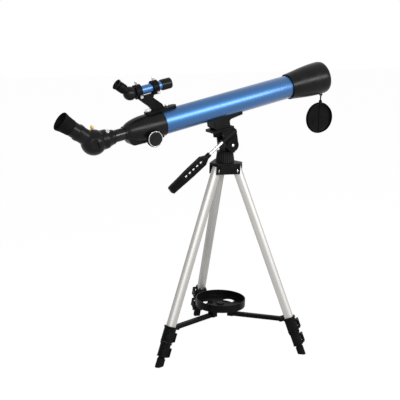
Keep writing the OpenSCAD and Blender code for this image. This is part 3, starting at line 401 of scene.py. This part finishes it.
upper_mid, lower_mid = UPPER_CLAMP_LOW + UPPER_LEVER_UP, LOWER_CLAMP_LOW + LOWER_LEVER_UP
for k in LEG_TURN:
    place = leg_place(k)
    clamp = clamp_shells(LEG_W, LEG_D, UPPER_CLAMP_TOP, UPPER_CLAMP_LOW, upper_mid, place)
    piece(f"leg_{k}_upper_clamp", clamp + brace_ears(place), black_abs, f"leg_{k}",
          [f"leg_{k}_clamp"])
    piece(f"leg_{k}_upper_lever", lever_shells(LEG_W, LEG_D, upper_mid, place), black_abs,
          f"leg_{k}_lever", [f"leg_{k}_lever"])
    piece(f"leg_{k}_lower_clamp",
          clamp_shells(MID_W, MID_D, LOWER_CLAMP_TOP, LOWER_CLAMP_LOW, lower_mid, place),
          black_abs, f"leg_{k}_middle", [f"leg_{k}_middle_clamp"])
    piece(f"leg_{k}_lower_lever", lever_shells(MID_W, MID_D, lower_mid, place), black_abs,
          f"leg_{k}_middle_lever", [f"leg_{k}_middle_lever"])


def fettled(node, name, material, bevel=0.35):
    """A CAD node finished as the real piece: a copy of its mesh is merged, its flat faces are
    joined up, and a bevel in millimetres rounds the edges."""
    source = frame["nodes"][node]
    mesh = source.data.copy()
    mesh.name = name
    part = bmesh.new()
    part.from_mesh(mesh)
    bmesh.ops.remove_doubles(part, verts=part.verts, dist=2e-6)
    bmesh.ops.dissolve_limit(part, angle_limit=np.radians(0.8), verts=part.verts, edges=part.edges)
    part.to_mesh(mesh)
    part.free()
    mesh.materials.clear()
    finished(name, mesh, material, body_of(source)[0], [node], bevel, 32)


for k in LEG_TURN:
    fettled(f"leg_{k}_lower", f"leg_{k}_foot", foot_rubber, 0.8)


# ---- Spreader, braces and accessory tray ----------------------------------------------------
# A hub plate with three clevises, three channelled brace bars and a round dish with three round
# openings, all injection moulded in black ABS and pinned together.
tray_abs = moulded_plastic("black_abs_tray", "#090909", "#0f0f10", 0.30, 0.42)
fettled("spreader_hub", "spreader_hub_plate", black_abs)
fettled("tray", "accessory_tray", tray_abs, 0.6)
for k in LEG_TURN:
    fettled(f"brace_{k}", f"brace_bar_{k}", tray_abs, 0.4)


# ---- Spider, leg rivets and pan head --------------------------------------------------------
# The spider is one heavy six-sided ABS moulding with a ribbed neck; each leg hangs in a clevis on
# a nickel plated rivet. The pan head turns on the neck and carries the tilt knuckle.
SPIDER_OUT, SPIDER_LOW, PLATE_LOW, PLATE_TOP = 38.8, PIN_Z - 7.8, PIN_Z + 11.2, PIN_Z + 17.2
EAR_ROOT, EAR_IN, EAR_OUT, WALL_T, WALL_LAP, RIVET_ROOM = 12.0, 9.3, 12.8, 4.0, 1.5, 7.0
NECK_TOP, NECK_R1, NECK_R2, NECK_RIBS, RIB_DEEP = PLATE_TOP + 21.5, 22.2, 19.2, 24, 1.1
COLUMN_R, PIVOT_R = 17.0, 6.05


def polished_metal(name, colour, low, high, bright="#e4e3e0"):
    """Plated or turned metal: an even bright surface, with a faint handling haze that moves its
    colour between two tones and its roughness between low and high."""
    mat = new_material(name)
    place = add(mat, "TexCoord")
    haze = add(mat, "TexNoise", {"Vector": place.outputs["Object"], "Scale": 160.0, "Detail": 3.0})
    rough = add(mat, "MapRange", {"Value": haze.outputs["Fac"], "From Min": 0.3, "From Max": 0.7,
                                  "To Min": low, "To Max": high})
    tone = add(mat, "ValToRGB", {"Fac": haze.outputs["Fac"]})
    tone.color_ramp.elements[0].position, tone.color_ramp.elements[0].color = 0.2, srgb(colour)
    tone.color_ramp.elements[1].position, tone.color_ramp.elements[1].color = 0.9, srgb(bright)
    metal = add(mat, "BsdfPrincipled", {"Base Color": tone.outputs[0], "Metallic": 1.0,
                                        "Roughness": rough.outputs[0]})
    add(mat, "OutputMaterial", {"Surface": metal.outputs[0]})
    return mat


def knurled(profile, knurls, deep, where, around=12):
    """A closed profile of (height, radius, cut) rows turned about local Z. Where cut is 1 the
    radius loses deep times 1 minus |sin|, to the power 0.7, of half of knurls times the angle, so
    each knurl is a rounded ridge; where it is 0 the rim stays round."""
    p = np.asarray(profile, float)
    a = np.linspace(0, 2 * np.pi, knurls * around, endpoint=False)
    groove = deep * (1 - np.abs(np.sin(a * knurls / 2)) ** 0.7)
    radius = p[:, 1:2] - p[:, 2:3] * groove[None, :]
    rings = np.stack([radius * np.cos(a), radius * np.sin(a), np.repeat(p[:, :1], len(a), 1)], 2)
    return skin(rings, where, loop=True)


nickel = polished_metal("nickel_plated_steel", "#c8c7c4", 0.16, 0.28)
head_abs = moulded_plastic("black_abs_pan_head", "#0e0e0f", "#151516", 0.34, 0.46)


def ear_corner(k, side, out):
    """Outer corner of a clevis ear in plan: out along the leg's direction, EAR_OUT across it."""
    a, y = np.radians(LEG_TURN[k]), side * EAR_OUT
    return np.array([out * np.cos(a) - y * np.sin(a), out * np.sin(a) + y * np.cos(a)])


def spider_wall(k):
    """The wall between leg k's clevis and the next one: a bar in plan along the line that joins
    their outer corners, which stops RIVET_ROOM short of both."""
    start, end = ear_corner(k, 1, SPIDER_OUT), ear_corner(k % 3 + 1, -1, SPIDER_OUT)
    along = (end - start) / np.linalg.norm(end - start)
    inward = WALL_T * np.array([-along[1], along[0]])
    start, end = start + RIVET_ROOM * along, end - RIVET_ROOM * along
    line = eased([start, end, end + inward, start + inward], 1.2)
    return pressed(line, SPIDER_LOW, PLATE_LOW + WALL_LAP, np.eye(4), 0.6)


plate = eased([ear_corner(k, side, SPIDER_OUT) for k in LEG_TURN for side in (-1, 1)], 2.5, 5)
spider = [pressed(plate, PLATE_LOW, PLATE_TOP, np.eye(4), 1.2)]
for k in LEG_TURN:
    spider.append(spider_wall(k))
    for y0, y1 in ((EAR_IN, EAR_OUT), (-EAR_OUT, -EAR_IN)):
        spider.append(box(EAR_ROOT, SPIDER_OUT, y0, y1, SPIDER_LOW, PLATE_LOW + WALL_LAP,
                          turn("z", LEG_TURN[k]), 1.2))
neck = [(SPIDER_LOW, PIVOT_R, 0), (SPIDER_LOW, COLUMN_R, 0), (PLATE_LOW + 1, COLUMN_R, 0),
        (PLATE_LOW + 1, NECK_R1, 0), (PLATE_TOP + 0.8, NECK_R1, 0),
        (PLATE_TOP + 1.4, NECK_R1 - 0.2, 1), (NECK_TOP - 0.3, NECK_R2, 1),
        (NECK_TOP, NECK_R2 - 0.4, 1), (NECK_TOP, PIVOT_R, 0)]
spider.append(knurled(neck, NECK_RIBS, RIB_DEEP, np.eye(4)))
piece("tripod_spider", spider, head_abs, "tripod", ["leg_spider"])
fettled("leg_pins", "leg_rivets", nickel, 0.5)
fettled("pan_head", "pan_knuckle", head_abs, 0.5)


# ---- Tilt platform, bolt, clamp screw and handle --------------------------------------------
# Two cheeks under a flat plate tilt on one through bolt. A steel rod screws into the thicker
# cheek and locks it, and carries a flat moulded grip pierced by five square holes.
TILT, KNUCKLE_AHEAD, PAN_GAP, TILT_UP = 11.81, 5.0, 0.3, 19.6
TUBE_AHEAD, TUBE_UP = 13.75, 90.2
CHEEK_IN, CHEEK_T, BOLT_CAP_T = 12.7, 10.0, 3.4
TILT_AXIS = shift(KNUCKLE_AHEAD, 0, NECK_TOP + PAN_GAP + TILT_UP) @ turn("y", -TILT)
TUBE = TILT_AXIS @ shift(TUBE_AHEAD, 0, TUBE_UP)
ALONG = TUBE @ turn("y", 90)

fettled("tilt_platform", "tilt_platform_cheeks", head_abs, 0.6)
fettled("tilt_bolt", "tilt_bolt_cap", head_abs, 0.4)
face = CHEEK_IN + CHEEK_T + BOLT_CAP_T
cap_screw = turned([(face - 1.2, 0), (face - 1.2, 3.4), (face - 0.1, 3.4), (face + 0.5, 2.6),
                    (face + 0.7, 1.2), (face + 0.7, 0)], TILT_AXIS @ turn("x", 90), 48)
piece("tilt_bolt_screw", [cap_screw], nickel, "scope")
fettled("platform_screw", "platform_thumb_screw", black_abs, 0.3)
fettled("handle_rod", "handle_steel_rod", nickel, 0)
fettled("handle_grip", "handle_moulded_grip", black_abs, 0.7)


# ---- Saddle and main tube -------------------------------------------------------------------
# The tube is rolled aluminium, 54 mm across, sprayed in a metallic blue lacquer under a clear
# coat. It rests in a moulded saddle that the platform's screw holds from below.
TUBE_R, TUBE_WALL, TUBE_BACK, TUBE_FRONT = 27.0, 1.2, 168.0, 196.0
SADDLE_HALF, SADDLE_LOW, ARM_BACK, ARM_LOW, FILLET = 15.0, -48.2, -7.0, -TUBE_R - 4.8, 7.0


def metallic_lacquer(name):
    """Metallic car lacquer on rolled aluminium: fine flake under a blue tint, and a clear coat
    whose soft reflection makes the long pale streak. Flake of 0.1 mm is drawn at 0.5 mm."""
    flake_mm = 0.5
    mat = new_material(name)
    place = add(mat, "TexCoord")
    flake = add(mat, "TexVoronoi", {"Vector": place.outputs["Object"], "Scale": 1000 / flake_mm})
    tone = add(mat, "ValToRGB", {"Fac": flake.outputs["Color"]})
    tone.color_ramp.elements[0].color = srgb("#1d5286")
    tone.color_ramp.elements[1].color = srgb("#28639b")
    tilt_of_flake = add(mat, "Bump", {"Height": flake.outputs["Distance"], "Strength": 0.02,
                                      "Distance": 0.0001})
    peel = add(mat, "TexNoise", {"Vector": place.outputs["Object"], "Scale": 300.0, "Detail": 1.0})
    coat_wave = add(mat, "Bump", {"Height": peel.outputs["Fac"], "Strength": 0.01,
                                  "Distance": 0.0002})
    paint = add(mat, "BsdfPrincipled", {
        "Base Color": tone.outputs[0], "Metallic": 0.95, "Roughness": 0.42,
        "Coat Weight": 1.0, "Coat Roughness": 0.3, "Coat IOR": 1.47,
        "Normal": tilt_of_flake.outputs[0], "Coat Normal": coat_wave.outputs[0]})
    add(mat, "OutputMaterial", {"Surface": paint.outputs[0]})
    return mat


def saddle_shell(where):
    """The saddle lofted along the tube: each section runs round the tube's own circle on top and
    has a flat bottom. Seen from the side the bottom is an L, a deep foot behind and a thin arm in
    front, with a quarter circle of radius FILLET in its inner corner."""
    a = np.radians(np.arange(180, 100, -15))
    corner = np.column_stack([FILLET * np.cos(a) + FILLET + ARM_BACK,
                              FILLET * np.sin(a) + ARM_LOW - FILLET])
    underside = [(-50, SADDLE_LOW + 6.4), (-46, SADDLE_LOW + 2.4), (-42, SADDLE_LOW),
                 (ARM_BACK, SADDLE_LOW), *corner, (1.5, ARM_LOW), (28.5, ARM_LOW + 2.5),
                 (29.5, ARM_LOW + 3.5)]
    y = SADDLE_HALF * np.sin(np.linspace(-np.pi / 2, np.pi / 2, 25))
    top = np.column_stack([y, -np.sqrt((TUBE_R + FIT) ** 2 - y ** 2)])
    rings = []
    for x, z in underside:
        section = np.vstack([top, [SADDLE_HALF, z], [-SADDLE_HALF, z]])
        rings.append(np.column_stack([np.full(len(section), x), section]))
    return skin(np.array(rings), where)


blue_lacquer = metallic_lacquer("blue_metallic_lacquer")
tube_section = eased([(-TUBE_BACK, TUBE_R - TUBE_WALL), (-TUBE_BACK, TUBE_R), (TUBE_FRONT, TUBE_R),
                      (TUBE_FRONT, TUBE_R - TUBE_WALL)], 0.3, 2)
piece("optical_tube", [turned(tube_section, ALONG, 160, True)], blue_lacquer, "scope",
      ["main_tube"])
saddle_abs = moulded_plastic("black_abs_saddle", "#121212", "#1a1a1a", 0.30, 0.42)
piece("tube_saddle", [saddle_shell(TUBE)], saddle_abs, "scope", ["saddle"], bevel=0.7)


# ---- Dew hood, objective cell and lenses ----------------------------------------------------
# A flared ABS hood pushes over the tube's front and shades a two-element objective that a ring
# holds in its cell. Every lens and prism of the telescope has the same pale blue coating.
satin_abs = moulded_plastic("black_abs_satin_ball", "#0c0c0d", "#131314", 0.24, 0.34, gloss=0.13)
hood_abs = moulded_plastic("black_abs_dew_hood", "#090909", "#0f0f0f", 0.24, 0.34, gloss=0.15)
fettled("lens_hood", "dew_hood", hood_abs, 0.6)
fettled("objective_cell", "objective_cell_ring", black_abs, 0.2)


def coated_glass(name, tint, ior):
    """Optical glass with a thin magnesium fluoride coating: clear where it is seen straight on,
    and faintly tinted where it is seen aslant."""
    mat = new_material(name)
    film = add(mat, "LayerWeight", {"Blend": 0.35})
    tone = add(mat, "ValToRGB", {"Fac": film.outputs["Facing"]})
    tone.color_ramp.elements[0].color = srgb("#ffffff")
    tone.color_ramp.elements[1].color = srgb(tint)
    body = add(mat, "BsdfPrincipled", {"Base Color": tone.outputs[0], "Roughness": 0.02,
                                       "Transmission Weight": 1.0, "IOR": ior})
    add(mat, "OutputMaterial", {"Surface": body.outputs[0]})
    return mat


objective_glass = coated_glass("coated_crown_glass", "#b9d8e6", 1.52)
for node, name in (("objective_lenses", "objective_doublet"),
                   ("eyepiece_lenses", "eyepiece_optics"),
                   ("finder_lens", "finder_optics"),
                   ("diagonal_prism", "roof_prism")):
    fettled(node, name, objective_glass, 0)


# ---- Lens cap and strap ---------------------------------------------------------------------
# The cap is a thin ABS dish that plugs the hood's mouth. It hangs from a moulded link between
# two pinned eyes.
cap_abs = moulded_plastic("black_abs_lens_cap", "#090909", "#101010", 0.34, 0.46)
fettled("lens_cap", "hood_lens_cap", cap_abs, 0.5)
fettled("cap_strap", "lens_cap_link", cap_abs, 0.3)


# ---- Focuser --------------------------------------------------------------------------------
# A tapered ABS housing carries the rack and pinion. Two knurled knobs on one steel shaft turn
# the pinion, whose chamber a flat steel plate closes from below. Names in _S are places along the
# tube and names in _H heights above its axis.
HOUSING_LEN, HOUSING_R, KNOB_GAP, KNOB_R, KNOB_T, KNURLS = 94.0, 28.9, 1.1, 18.5, 10.0, 40
DRAW_R, DRAW_WALL, DRAW_OUT, DRAW_IN, BARREL_R = 13.5, 1.1, 23.0, 40.0, 12.25
COLLAR_LEN, COLLAR_R, SOCKET_FIT = 31.0, 21.5, 0.05
TOOTH, PINION_TEETH, RACK_TEETH, RACK_HALF, PINION_BEHIND, RACK_BELOW = 0.9, 10, 29, 4.0, 39.5, 2.3
DRAW_END = -TUBE_BACK - HOUSING_LEN - DRAW_OUT
COLLAR_END = DRAW_END - COLLAR_LEN
PINION_S = -TUBE_BACK - PINION_BEHIND
RACK_H = -DRAW_R - RACK_BELOW


def rack_line(teeth):
    """Outline of the rack: a flat bar whose lower edge carries teeth with 20 degree flanks, pi
    times the module TOOTH apart."""
    pitch, lean = np.pi * TOOTH, TOOTH * np.tan(np.radians(20))
    root, tip = 1.15 * TOOTH, -0.85 * TOOTH
    x = np.array([lean * 0.2, pitch * 0.28 + lean, pitch * 0.72 - lean, pitch - lean * 0.2])
    x = (np.arange(teeth)[:, None] * pitch + x).ravel()
    y = np.tile([root, tip, tip, root], teeth)
    back, length = 3.0, teeth * pitch
    return np.concatenate([[[0, back], [0, root]], np.column_stack([x, y]),
                           [[length, root], [length, back]]])


trim = polished_metal("knob_bright_trim", "#c9c8c6", 0.18, 0.30)
knob_face = moulded_plastic("black_knob_face", "#161617", "#1e1e1f", 0.42, 0.55)
fettled("focuser_housing", "focuser_shell", hood_abs, 0.6)
fettled("pinion_cover", "pinion_cover_plate", nickel, 0.2)
fettled("focus_pinion", "focus_shaft_pinion", nickel, 0.1)
knobs, rims, faces = [], [], []
for side in (-1, 1):
    place = TUBE @ shift(PINION_S, 0, RACK_H - PINION_TEETH / 2 * TOOTH) @ turn("x", side * -90)
    near, r = HOUSING_R + KNOB_GAP, KNOB_R
    far = near + KNOB_T
    knobs.append(knurled([
        (near + 0.1, 2.6, 0), (near - 0.9, 2.6, 0), (near - 0.9, 4.8, 0), (near, 5.2, 0),
        (near + 0.1, r - 2.2, 0), (near + 0.3, r - 1.2, 1), (near + 1.2, r, 1), (far - 2.6, r, 1),
        (far - 1.9, r - 0.5, 1), (far - 1.5, r - 1.4, 0), (far - 0.9, r - 1.6, 0),
        (far - 0.9, 2.6, 0)], KNURLS, 0.7, place))
    rims.append(turned(eased([(far - 1.0, r - 3.2), (far - 1.0, r - 1.5), (far, r - 1.7),
                              (far, r - 2.9)], 0.25, 3), place, 96, True))
    faces.append(turned([(far - 1.0, 0), (far - 1.0, r - 3.3), (far - 0.55, r - 3.3),
                         (far - 0.4, r - 3.7), (far - 0.62, r - 7), (far - 0.7, 0)], place, 96))
piece("focus_knob_grips", knobs, black_abs, "focus_shaft", ["focus_knobs"])
piece("focus_knob_rings", rims, trim, "focus_shaft")
piece("focus_knob_faces", faces, knob_face, "focus_shaft")

black_chrome = polished_metal("black_chromed_steel", "#232324", 0.14, 0.24, "#3a3a3c")
back, front, bore = DRAW_END - 1, DRAW_IN - TUBE_BACK, DRAW_R - DRAW_WALL
draw_section = eased([(back, bore), (back, DRAW_R), (front, DRAW_R), (front, bore)], 0.3, 2)
rack_start = shift(PINION_S - PINION_TEETH * np.pi * TOOTH, 0, RACK_H) @ turn("x", 90)
rack = pressed(rack_line(RACK_TEETH), -RACK_HALF, RACK_HALF, TUBE @ rack_start, 0.15, 1)
piece("focus_draw_tube", [turned(draw_section, ALONG, 96, True), rack], black_chrome, "draw_tube",
      ["draw_tube"])
collar = eased([
    (DRAW_END + 0.6, DRAW_R - 1.3), (DRAW_END, DRAW_R + 1.4), (DRAW_END - 2.6, DRAW_R + 2.1),
    (DRAW_END - 3.4, DRAW_R + 3.0), (DRAW_END - 5.2, DRAW_R + 3.0), (DRAW_END - 6.2, DRAW_R + 2.8),
    (COLLAR_END + 14, COLLAR_R - 1.5), (COLLAR_END + 13.4, COLLAR_R - 0.6),
    (COLLAR_END + 6.6, COLLAR_R - 0.1), (COLLAR_END + 6.0, COLLAR_R - 0.7),
    (COLLAR_END + 4.6, COLLAR_R - 0.7), (COLLAR_END + 4.0, COLLAR_R), (COLLAR_END, COLLAR_R),
    (COLLAR_END, BARREL_R + SOCKET_FIT), (COLLAR_END + 18, BARREL_R + SOCKET_FIT),
    (COLLAR_END + 18, BARREL_R - 1.3)], 0.35, 2)
piece("draw_tube_collar", [turned(collar, ALONG, 96, True)], satin_abs, "draw_tube")
fettled("draw_tube_screw", "draw_tube_thumb_screw", nickel, 0.2)


# ---- Diagonal and eyepiece ------------------------------------------------------------------
# A ball-shaped ABS housing holds the erecting prism. The eyepiece slides in its socket under a
# brass screw and ends in a folding rubber cup.
brass = polished_metal("turned_brass", "#a37a3a", 0.18, 0.30, "#d9b878")
cup_rubber = moulded_plastic("black_eyecup_rubber", "#0a0a0a", "#101010", 0.55, 0.7, 1.2, 0.25)
fettled("diagonal_body", "diagonal_ball", satin_abs, 0.5)
fettled("diagonal_screw", "diagonal_thumb_screw", brass, 0.2)
fettled("eyepiece_body", "eyepiece_barrel", satin_abs, 0.3)
fettled("eyecup", "folding_eyecup", cup_rubber, 0.5)


# ---- Finder ---------------------------------------------------------------------------------
# A small finder with its own ball-shaped prism housing and raised eyepiece. Six thumb screws hold
# it in the two rings of a raked ABS bracket, and its short tube is lacquered like the main one.
fettled("finder_bracket", "finder_ring_bracket", black_abs, 0.4)
fettled("finder_tube", "finder_lacquered_tube", blue_lacquer, 0.2)
fettled("finder_bell", "finder_front_bell", satin_abs, 0.3)
fettled("finder_diagonal", "finder_ball", satin_abs, 0.4)
fettled("finder_eyepiece", "finder_focus_eyepiece", black_abs, 0.4)
fettled("finder_screws", "finder_thumb_screws", nickel, 0.15)


# ---- Studio ---------------------------------------------------------------------------------
# A plain pale floor under a white surround, one long soft light high on the camera's side, and a
# camera behind the telescope on its right, a little above it. Lengths here are in metres.
FLOOR_HALF, FLOOR_SHOWN, FLOOR_WHITE, SURROUND_LIGHT = 6.0, 0.94, 1.03, 0.25


def white_to_the_eye(name, colour, floor):
    """White where the camera, glossy and transmission rays arrive, so metal and glass show the
    same surround; diffuse rays meet the plain colour of a floor, or the surround at the level
    SURROUND_LIGHT. A floor keeps a share of its own shading, which is where the shadow shows."""
    mat = (bpy.data.materials if floor else bpy.data.worlds).new(name)
    mat.use_nodes = True
    mat.node_tree.nodes.clear()
    path = add(mat, "LightPath")
    seen = add(mat, "Math", {0: path.outputs["Is Camera Ray"], 1: path.outputs["Is Glossy Ray"]},
               operation="MAXIMUM")
    seen = add(mat, "Math", {0: seen.outputs[0], 1: path.outputs["Is Transmission Ray"]},
               operation="MAXIMUM")
    if floor:
        share = add(mat, "Math", {0: seen.outputs[0], 1: FLOOR_SHOWN}, operation="MULTIPLY")
        tone = add(mat, "Mix", {0: seen.outputs[0], 6: srgb(colour), 7: srgb("#ffffff")},
                   data_type="RGBA")
        plain = add(mat, "BsdfDiffuse", {"Color": tone.outputs[2]})
        shown = add(mat, "Emission", {"Color": srgb("#ffffff"), "Strength": FLOOR_WHITE})
        both = add(mat, "MixShader", {0: share.outputs[0], 1: plain.outputs[0],
                                      2: shown.outputs[0]})
        add(mat, "OutputMaterial", {"Surface": both.outputs[0]})
    else:
        level = add(mat, "MapRange", {"Value": seen.outputs[0], "To Min": SURROUND_LIGHT,
                                      "To Max": 1.0})
        sky = add(mat, "Background", {"Color": srgb(colour), "Strength": level.outputs[0]})
        add(mat, "OutputWorld", {"Surface": sky.outputs[0]})
    return mat


floor_corners = [(x * FLOOR_HALF, y * FLOOR_HALF, 0) for x, y in ((-1, -1), (1, -1), (1, 1), (-1, 1))]
floor_mesh = bpy.data.meshes.new("studio_floor")
floor_mesh.from_pydata(floor_corners, [], [(0, 1, 2, 3)])
floor_mesh.materials.append(white_to_the_eye("pale_floor", "#b4b4b4", True))
floor = bpy.data.objects.new("studio_floor", floor_mesh)
bpy.context.scene.collection.objects.link(floor)
bpy.context.scene.world = white_to_the_eye("white_surround", "#ffffff", False)


def soft_light(name, at, aim, width, height, watts):
    """A rectangular soft box that stands at one point and looks at another, its long side level."""
    lamp = bpy.data.lights.new(name, "AREA")
    lamp.shape, lamp.size, lamp.size_y, lamp.energy = "RECTANGLE", width, height, watts
    thing = bpy.data.objects.new(name, lamp)
    bpy.context.scene.collection.objects.link(thing)
    back = np.array(at, float) - aim
    back /= np.linalg.norm(back)
    side = np.cross([0, 0, 1.0], back)
    side /= np.linalg.norm(side)
    basis = np.eye(4)
    basis[:3, 0], basis[:3, 1], basis[:3, 2], basis[:3, 3] = side, np.cross(back, side), back, at
    thing.matrix_world = Matrix(basis.tolist())


soft_light("long_soft_box", at=(0.1, -2.05, 1.35), aim=(0, 0, 0.5), width=3.6, height=0.6, watts=86)

FOCAL, SENSOR = 82.376, 36.0
EYE = np.array([-1.07212, -1.78016, 0.84692])
LOOK = np.array([0.4798, 0.8467, -0.2300])
ROLL = np.radians(1.51)
look = LOOK / np.linalg.norm(LOOK)
level_side = np.cross(look, [0, 0, 1.0])
level_side /= np.linalg.norm(level_side)
level_up = np.cross(level_side, look)
pose = np.eye(4)
pose[:3, 0] = np.cos(ROLL) * level_side + np.sin(ROLL) * level_up
pose[:3, 1] = np.cos(ROLL) * level_up - np.sin(ROLL) * level_side
pose[:3, 2], pose[:3, 3] = -look, EYE
lens = bpy.data.cameras.new("studio_camera")
lens.lens, lens.sensor_width, lens.clip_end = FOCAL, SENSOR, 50
camera = bpy.data.objects.new("studio_camera", lens)
camera.matrix_world = Matrix(pose.tolist())
bpy.context.scene.collection.objects.link(camera)
bpy.context.scene.camera = camera
bpy.context.scene.view_settings.view_transform = "Standard"
